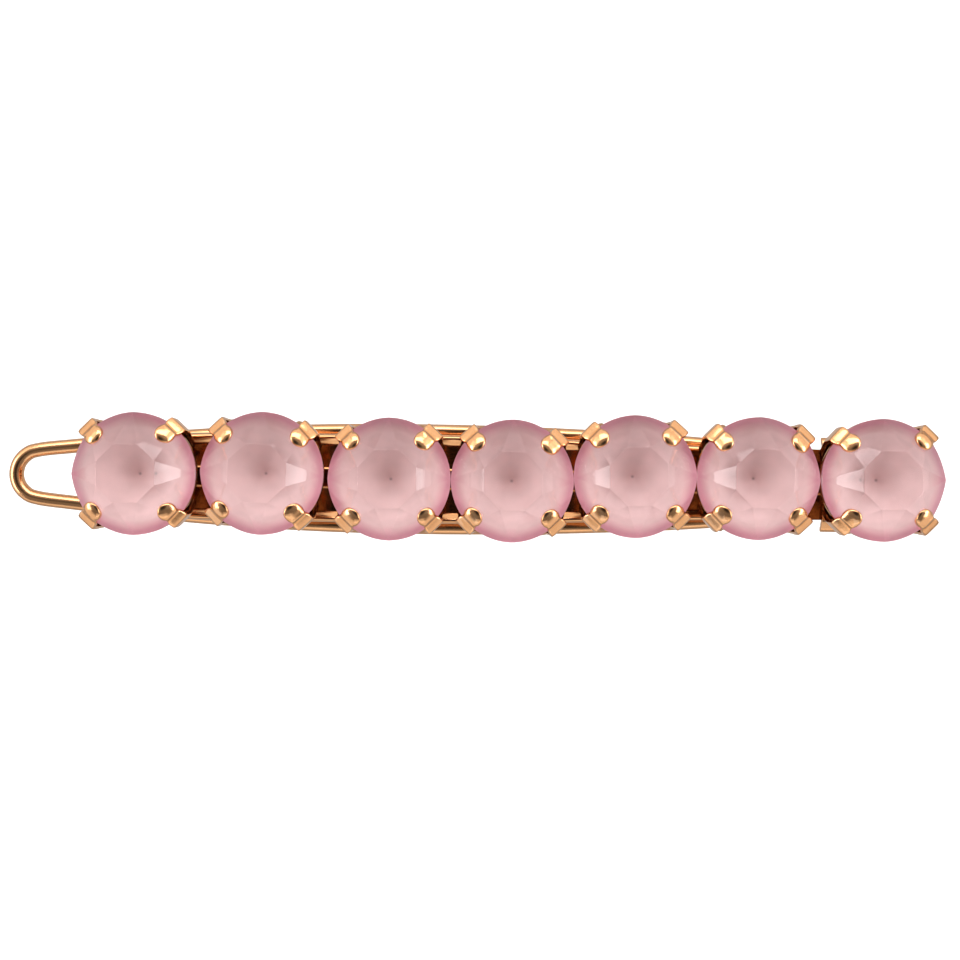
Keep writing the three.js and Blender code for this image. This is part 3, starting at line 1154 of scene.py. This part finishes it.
@dataclass
class Bar:
    """The stamped bar, with a bead along each edge, a groove down its middle and the catch at its end."""

    underside: float = 1.7
    thickness: float = 0.5
    bead_radius: float = 0.42
    groove_half: float = 0.6
    groove_depth: float = 0.15
    bend_radius: float = 0.6
    tongue_half: float = 1.2
    end_round: float = 0.35
    end_inset: float = 0.3
    stations: int = 190
    bead_profile: tuple[tuple[float, float], ...] = (
        (0.0, -0.55), (0.01, -0.2), (0.04, 0.2), (0.09, 0.56), (0.15, 0.82), (0.21, 0.95), (0.27, 1.0),
        (0.33, 0.97), (0.39, 0.88), (0.47, 0.71), (0.56, 0.5), (0.65, 0.28), (0.72, 0.12), (0.78, 0.03),
        (0.86, 0.0),
    )

    def __post_init__(self) -> None:
        """Reads the bar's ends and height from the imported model."""
        low, high = node_box("base_bar")
        self.catch_end, self.hinge_end = low.x, high.x
        self.axis = (low.y + high.y) / 2
        self.ground = low.z
        self.bead_top = high.z - self.underside

    def half_width(self, x: float) -> float:
        """Gives half the bar's width.

        Args:
            x: The distance from the catch end.

        Returns:
            Half the width there.
        """
        leaf = [(0.0, 1.2), (1.5, 2.0), (4.6, 2.75), (8.3, 3.04), (17.3, 3.11), (26.0, 3.13), (34.7, 2.92)]
        leaf += [(43.3, 2.6), (52.0, 2.45), (56.4, 2.4)]
        samples = spline([Vector((along, half, 0)) for along, half in leaf], 8)
        for a, b in zip(samples, samples[1:]):
            if x <= b.x:
                return a.y + (b.y - a.y) * (x - a.x) / (b.x - a.x)
        return samples[-1].y

    def bead_height(self, x: float) -> float:
        """Gives the height of the bead's centre above the underside.

        Args:
            x: The distance from the catch end.

        Returns:
            The height there. Near both ends the bead sinks into the strip.
        """
        full = self.bead_top - self.bead_radius
        crease_shaded = self.thickness - self.bead_radius - 0.02
        return curve_value([(1.1, crease_shaded), (5.6, full), (34.0, full), (43.5, full - 0.2), (50.6, crease_shaded)], x)

    def section(self, half: float, bead: float, groove: float) -> Profile:
        """Draws the bar's section.

        Args:
            half: Half the width.
            bead: Height of the bead's centre above the underside.
            groove: Depth of the middle groove.

        Returns:
            Pairs of sideways place and height, round the section.
        """
        centre = half - self.bead_radius
        side: Profile = [(0.0, 0.0), (half * 0.5, 0.0)]
        rise = max(0.0, bead + self.bead_radius - self.thickness)
        for k in range(9):
            share = k / 4 - 1
            side.append((centre + self.bead_radius * 0.6 * share, rise * 0.5 * (1 - share**2)))
        side += [(half - 0.07, 0.0), (half - 0.02, 0.04), (half, 0.12)]
        for inset, lift in self.bead_profile:
            side.append((half - inset, self.thickness + rise * lift))
        lip = self.groove_half
        burr = groove * 0.4
        side += [((half - 0.9 + lip) / 2, self.thickness), (lip + 0.16, self.thickness)]
        side += [(lip + 0.11, self.thickness + burr * 0.25), (lip + 0.06, self.thickness + burr * 0.85)]
        side += [(lip + 0.03, self.thickness + burr), (lip, self.thickness + burr * 0.7)]
        side += [(lip - 0.03, self.thickness - groove * 0.5), (lip - 0.06, self.thickness - groove)]
        side.append((0.0, self.thickness - groove))
        mirrored = [(-y, z) for y, z in reversed(side[1:-1])]
        return side + mirrored

    def catch_half(self, drop: float) -> float:
        """Gives half the catch tongue's width.

        Args:
            drop: The distance below the bend's start.

        Returns:
            Half the width there, with the catch's wider head near the foot.
        """
        foot, neck, head = self.underside, self.tongue_half, 1.45
        knots = [(0.0, neck), (foot - 0.62, neck), (foot - 0.48, head), (foot - 0.3, head)]
        knots += [(foot - 0.02, 0.82), (foot, 0.76)]
        return curve_value(knots, drop)

    def rings(self) -> list[Ring]:
        """Lists the sections from the hinge end to the foot of the catch.

        Returns:
            The sections' rings.
        """
        rings = []
        no_bead, no_groove = -1.0, 0.0
        length = self.hinge_end - self.catch_end
        for i in range(self.stations + 1):
            x = length - (length - self.bend_radius) * i / self.stations
            end = min(1.0, (length - x) / self.end_round)
            half = self.half_width(x) - self.end_inset * (1 - math.sqrt(1 - (1 - end) ** 2))
            groove = self.groove_depth * curve_value([(2.2, 0.0), (2.9, 1.0)], x)
            section = self.section(half, self.bead_height(x), groove)
            corner = Vector((self.catch_end + x, self.axis, self.underside))
            rings.append([corner + Vector((0, across, up)) for across, up in section])
        turn = Vector((self.catch_end + self.bend_radius, self.axis, self.underside - 0.1))
        inside = self.bend_radius - self.thickness
        for i in range(1, 9):
            angle = math.pi / 2 * i / 8
            way = Vector((-math.sin(angle), 0, math.cos(angle)))
            section = self.section(self.tongue_half + 0.3 * (1 - i / 8) ** 3, no_bead, no_groove)
            rings.append([turn + way * (inside + up) + Vector((0, across, 0)) for across, up in section])
        fall = turn.z - self.ground
        for i in range(1, 31):
            drop = fall * i / 30
            thin = 1 - 0.35 * max(0.0, (drop - fall + 0.12) / 0.12) ** 2
            foot = turn - Vector((inside + self.thickness / 2, 0, drop))
            section = self.section(self.catch_half(drop + 0.1), no_bead, no_groove)
            rings.append(
                [foot + Vector(((self.thickness / 2 - up) * thin, across, 0)) for across, up in section]
            )
        return rings

    def build(self, finishes: Finishes) -> None:
        """Builds and dresses the bar.

        Args:
            finishes: The clip's finishes.
        """
        shell = Shell()
        shell.loft(self.rings())
        bar = shell.piece("bar", sharp=50)
        dress(bar, Body.CLIP, finishes.metal[Slot.BAR], "base_bar")


# ---------------------------------------------------------------- hinge


@dataclass
class HingeBracket:
    """The folded saddle whose two ears carry the bail."""

    sheet: float = 0.4
    bend: float = 0.5
    ear_half: float = 1.3
    ear_top: float = 1.75
    corner: float = 0.8
    shoulder_inner: float = 2.5
    shoulder_drop: float = 0.42
    hole_radius: float = 0.58
    hole_sides: int = 48
    ear_step: float = 0.085
    box: float = 0.1
    section_points: int = 32
    edge_softness: float = 0.04
    soft_angle: float = 60.0
    sharp_angle: float = 50.0

    def __post_init__(self) -> None:
        """Reads the bracket's box and the pivot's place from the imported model."""
        self.low, self.high = node_box("hinge_bracket")
        self.pivot = hinge_place()

    def outline(self) -> list[tuple[Vector, Vector]]:
        """Lists stations from one ear's foot over the saddle to the other's.

        Returns:
            For each station its place on the outer surface, and the direction out of the metal.
        """
        half, top = (self.high.y - self.low.y) / 2, self.high.z
        slope = math.atan2(self.shoulder_drop, half - self.shoulder_inner)
        corners = (
            (Vector((0, half, top - self.shoulder_drop)), 0.0, math.pi / 2 - slope),
            (Vector((0, self.shoulder_inner, top)), math.pi / 2 - slope, math.pi / 2),
        )
        side = []
        for i in range(20):
            side.append((Vector((0, half, self.low.z + i * self.ear_step)), Vector((0, 1, 0))))
        for corner, start, end in corners:
            turn = (end - start) / 2
            centre_way = Vector((0, math.cos(start + turn), math.sin(start + turn)))
            centre = corner - centre_way * (self.bend / math.cos(turn))
            for i in range(9):
                angle = start + (end - start) * i / 8
                out = Vector((0, math.cos(angle), math.sin(angle)))
                side.append((centre + out * self.bend, out))
        for i in range(1, 6):
            side.append((Vector((0, (self.shoulder_inner - 0.3) * (1 - i / 5), top)), Vector((0, 0, 1))))
        mirror = [(Vector((0, -p.y, p.z)), Vector((0, -n.y, n.z))) for p, n in reversed(side[:-1])]
        return side + mirror

    def span(self, height: float) -> tuple[float, float]:
        """Gives the metal's two edges along X.

        Args:
            height: The height above the ears' feet.

        Returns:
            The left and right edges' places.
        """
        rise = min(1.0, height / self.corner)
        inset = self.corner * (1 - math.sqrt(max(0.0, 1 - (1 - rise) ** 2)))
        left, right = self.pivot.x - self.ear_half + inset, self.pivot.x + self.ear_half - inset
        share = curve_value([(self.ear_top - 0.35, 0.0), (self.ear_top, 1.0)], height)
        return left + (self.low.x - left) * share, right + (self.high.x - right) * share

    def build(self, finishes: Finishes) -> None:
        """Builds and dresses the bracket.

        Args:
            finishes: The clip's finishes.
        """
        axis = (self.low.y + self.high.y) / 2
        rings = []
        for place, out in self.outline():
            left, right = self.span(place.z - self.low.z)
            middle = Vector(((left + right) / 2, axis, 0)) + place - out * (self.sheet / 2)
            half = (right - left) / 2
            section = superellipse(half, self.sheet / 2, self.box, self.box, self.section_points)
            rings.append([middle + Vector((across, 0, 0)) + out * up for across, up in section])
        shell = Shell()
        shell.loft(rings)
        bracket = shell.piece("hinge_saddle", sharp=self.sharp_angle)
        combine(bracket, self.drill().piece("drill"), Operation.CUT, self.sharp_angle)
        soften_edges(bracket, self.edge_softness, self.soft_angle)
        tidy_mesh(bracket, self.sharp_angle)
        dress(bracket, Body.CLIP, finishes.metal[Slot.BRACKET], "hinge_bracket")

    def drill(self) -> Shell:
        """Draws the drill that opens the hole through both ears.

        Returns:
            A closed cylinder, longer than the bracket is wide.
        """
        reach = self.high.y - self.low.y
        circle = [2 * math.pi * k / self.hole_sides for k in range(self.hole_sides)]
        around = [Vector((math.cos(angle), 0, math.sin(angle))) * self.hole_radius for angle in circle]
        shell = Shell()
        shell.loft([[self.pivot + Vector((0, y, 0)) + step for step in around] for y in (-reach, reach)])
        return shell


@dataclass
class WireBail:
    """The long loop of round wire, with its ends turned out into the bracket's ears."""

    radius: float = 0.5
    bow_radius: float = 1.7
    corner: float = 0.55
    leg_start: float = 1.78
    sides: int = 28

    def __post_init__(self) -> None:
        """Reads the bail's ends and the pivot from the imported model."""
        self.pivot = hinge_place()
        self.tip = node_box("wire_bail")[0].x
        self.reach = node_box("hinge_bracket")[1].y - self.pivot.y + 0.15

    def leg(self) -> list[Vector]:
        """Lists places along one leg, by distance from the pivot.

        Returns:
            The places, from the pivot to the bow.
        """
        spread = [(2.1, 1.95), (10.8, 2.75), (19.4, 3.19), (28.1, 3.38), (36.8, 3.3), (45.8, 2.84)]
        spread.append((54.6, 2.0))
        return [Vector((-back, side, 0)) for back, side in spread]

    def route(self) -> list[Vector]:
        """Gives the wire's centre line from one turned end round to the other.

        Returns:
            The line's places.
        """
        bow = Vector((self.tip + self.radius + self.bow_radius - self.pivot.x, 0, 0))
        half = [Vector((0, self.reach - 0.3, 0)), Vector((0, 3.0, 0))]
        for i in range(7):
            angle = math.pi / 2 * i / 6
            inward = self.leg_start + self.corner * (1 - math.sin(angle))
            half.append(Vector((-self.corner * (1 - math.cos(angle)), inward, 0)))
        half += self.leg()
        for degrees in (84, 60, 30):
            angle = math.radians(degrees)
            half.append(bow + Vector((-math.cos(angle), math.sin(angle), 0)) * self.bow_radius)
        far = [Vector((p.x, -p.y, 0)) for p in reversed(half)]
        middle = [bow - Vector((self.bow_radius, 0, 0))]
        samples = spline(half + middle + far, 10)
        return [self.pivot + p for p in samples]

    def build(self, finishes: Finishes) -> None:
        """Builds and dresses the bail.

        Args:
            finishes: The clip's finishes.
        """
        shell = Shell()
        shell.rod(self.route(), self.radius, self.sides)
        bail = shell.piece("bail_wire", sharp=60)
        dress(bail, Body.BAIL, finishes.metal[Slot.WIRE], "wire_bail")


@dataclass
class SolderJoint:
    """The solder that holds a cup to the bar, drawn up a little at its edges."""

    index: int
    waist: tuple[float, ...] = (0.97, 0.9, 0.86, 0.85, 0.87, 0.91, 0.97)

    def build(self, finishes: Finishes) -> None:
        """Builds and dresses the joint.

        Args:
            finishes: The clip's finishes.
        """
        low, high = node_box(f"solder_{self.index}")
        middle = Vector(((low.x + high.x) / 2, (low.y + high.y) / 2, low.z))
        radius, height = (high.x - low.x) / 2, high.z - low.z
        rng = random.Random(200 + self.index)
        step = height / (len(self.waist) - 1)
        profile: Profile = [(0.0, 0.0)]
        profile += [(radius * share, step * i) for i, share in enumerate(self.waist)]
        profile.append((0.0, height))
        shell = Shell()
        shell.lathe(profile, 48)
        waves = [(k, rng.uniform(0.01, 0.03), rng.uniform(0, 2 * math.pi)) for k in (2, 3, 5, 7)]
        for vert in shell.verts:
            angle = math.atan2(vert.y, vert.x)
            bulge = 1 - sum(size * (1 + math.sin(k * angle + phase)) / 2 for k, size, phase in waves)
            vert.x *= bulge
            vert.y *= bulge
        joint = shell.piece(f"solder_joint_{self.index}", middle)
        dress(joint, Body.CLIP, finishes.metal[Slot.SOLDER], f"solder_{self.index}")


# ---------------------------------------------------------------- studio


@dataclass
class Softbox:
    """A soft rectangular lamp that faces the clip."""

    name: str
    place: tuple[float, float, float]
    size: tuple[float, float]
    glow: float

    def build(self) -> None:
        """Makes the lamp. Its power follows from its size, so that glow is how bright it looks."""
        lamp = bpy.data.lights.new(self.name, "AREA")
        lamp.shape = "RECTANGLE"
        lamp.size, lamp.size_y = (side * MM for side in self.size)
        lamp.energy = self.glow * 4 * lamp.size * lamp.size_y
        obj = bpy.data.objects.new(self.name, lamp)
        bpy.context.scene.collection.objects.link(obj)
        obj.location = Vector(self.place) * MM
        obj.rotation_euler = (-obj.location).to_track_quat("-Z", "Y").to_euler()


@dataclass
class Studio:
    """The camera, the pale table, the lamps and the room's soft light."""

    stand_off: float = 85.24
    view_half_angle: float = 20.5
    roll: float = 0.014
    sensor: float = 36.0
    row_offset: float = 2.15
    table_size: float = 1600.0
    table_glow: float = 0.8
    swing_room: float = 3.0
    ceiling_glow: float = 0.34
    overhead_glow: float = 0.03
    wall_glow: float = 0.74
    lamps: tuple[Softbox, ...] = (
        Softbox("key", (0, 270, 215), (420, 150), 2.7),
        Softbox("key_left", (-268, 132, 195), (250, 160), 0.9),
        Softbox("key_right", (268, 132, 195), (250, 160), 0.9),
        Softbox("left", (-330, -10, 170), (300, 122), 3.2),
        Softbox("right", (330, -10, 170), (300, 122), 3.2),
        Softbox("front", (0, -330, 190), (320, 160), 0.45),
    )

    def build_camera(self) -> None:
        """Hangs the camera straight above the bar's middle line, a little left of the fourth stone."""
        low, high = node_box("stone_4")
        bar_low, bar_high = node_box("hinge_bracket")
        aim_x = (low.x + high.x) / 2 - self.row_offset
        aim_y = (bar_low.y + bar_high.y) / 2
        data = bpy.data.cameras.new("camera")
        data.sensor_width = self.sensor
        data.lens = self.sensor / 2 / math.tan(math.radians(self.view_half_angle))
        data.clip_start, data.clip_end = 0.005, 5.0
        data.dof.use_dof = False
        camera = bpy.data.objects.new("camera", data)
        bpy.context.scene.collection.objects.link(camera)
        camera.location = Vector((aim_x, aim_y, high.z - CROWN_HEIGHT + self.stand_off)) * MM
        camera.rotation_euler = Euler((0, 0, self.roll))
        bpy.context.scene.camera = camera

    def build_table(self) -> None:
        """Stands the pale table far enough below the clip for the opened bail to swing clear of it."""
        low, high = node_box("wire_bail")
        level = low.x - high.x - self.swing_room
        half = self.table_size / 2
        corners = ((-half, -half), (half, -half), (half, half), (-half, half))
        shell = Shell([Vector((x, y, level)) for x, y in corners])
        shell.faces.append((0, 1, 2, 3))
        table = shell.piece("table")
        material, tree = new_material("table_paper")
        tone = add_ramp(tree, add_noise(tree, piece_coordinates(tree), 0.4, 3.0), 0.0, 1.0, 0.48, 0.52)
        paper = add_node(tree, "BsdfPrincipled", {"Base Color": tone, "Roughness": 0.9})
        glow = add_node(tree, "Emission", {"Color": opaque((1.0, 1.0, 1.0)), "Strength": self.table_glow})
        lit = add_node(tree, "AddShader", {0: paper.outputs[0], 1: glow.outputs[0]})
        seen = add_node(tree, "LightPath", {}).outputs["Is Camera Ray"]
        either = add_node(tree, "MixShader", {0: seen, 1: paper.outputs[0], 2: lit.outputs[0]})
        add_node(tree, "OutputMaterial", {"Surface": either.outputs[0]})
        table.data.materials.append(material)

    def build_room(self) -> None:
        """Lights the room: bright walls, a dimmer ceiling, and dark straight overhead."""
        world = bpy.data.worlds.new("room")
        world.use_nodes = True
        tree = world.node_tree
        tree.nodes.clear()
        direction = add_node(tree, "TexCoord", {}).outputs["Generated"]
        parts = add_node(tree, "SeparateXYZ", {0: direction})
        height = parts.outputs["Z"]
        ceiling = add_ramp(tree, height, 0.88, 0.97, self.ceiling_glow, self.overhead_glow)
        toward_back = add_ramp(tree, parts.outputs["Y"], -0.6, 0.3, 0.55, 1.0)
        upper = add_sum(tree, Sum.MULTIPLY, ceiling, toward_back)
        walls = add_ramp(tree, height, 0.32, 0.5, self.wall_glow, 0.0)
        glow = add_sum(tree, Sum.ADD, upper, walls)
        back = add_node(tree, "Background", {"Color": opaque((1.0, 0.985, 0.97)), "Strength": glow})
        add_node(tree, "OutputWorld", {"Surface": back.outputs[0]})
        bpy.context.scene.world = world

    def build(self) -> None:
        """Sets up the whole studio."""
        self.build_camera()
        self.build_table()
        self.build_room()
        for lamp in self.lamps:
            lamp.build()
        bpy.context.scene.view_settings.view_transform = "Standard"
        LOG.info("studio: %d lamps", len(self.lamps))


# ---------------------------------------------------------------- the clip


@dataclass
class HairClip:
    """The whole clip."""

    stone_turns: tuple[float, ...] = (1.0, -2.0, 1.0, -1.0, 2.0, -1.0, 1.0)

    def build(self) -> None:
        """Builds every piece in order."""
        finishes = Finishes(Groups(), Stone(1).radius)
        Bar().build(finishes)
        HingeBracket().build(finishes)
        WireBail().build(finishes)
        for index, turn in enumerate(self.stone_turns, start=1):
            SolderJoint(index).build(finishes)
            FourProngCup(index).build(finishes, turn)
            Stone(index).build(finishes, turn)


def main() -> None:
    """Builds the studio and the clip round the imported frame."""
    logging.basicConfig(level=logging.INFO, format="%(name)s: %(message)s")
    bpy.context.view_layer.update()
    Studio().build()
    HairClip().build()


if __name__ == "__main__":
    main()
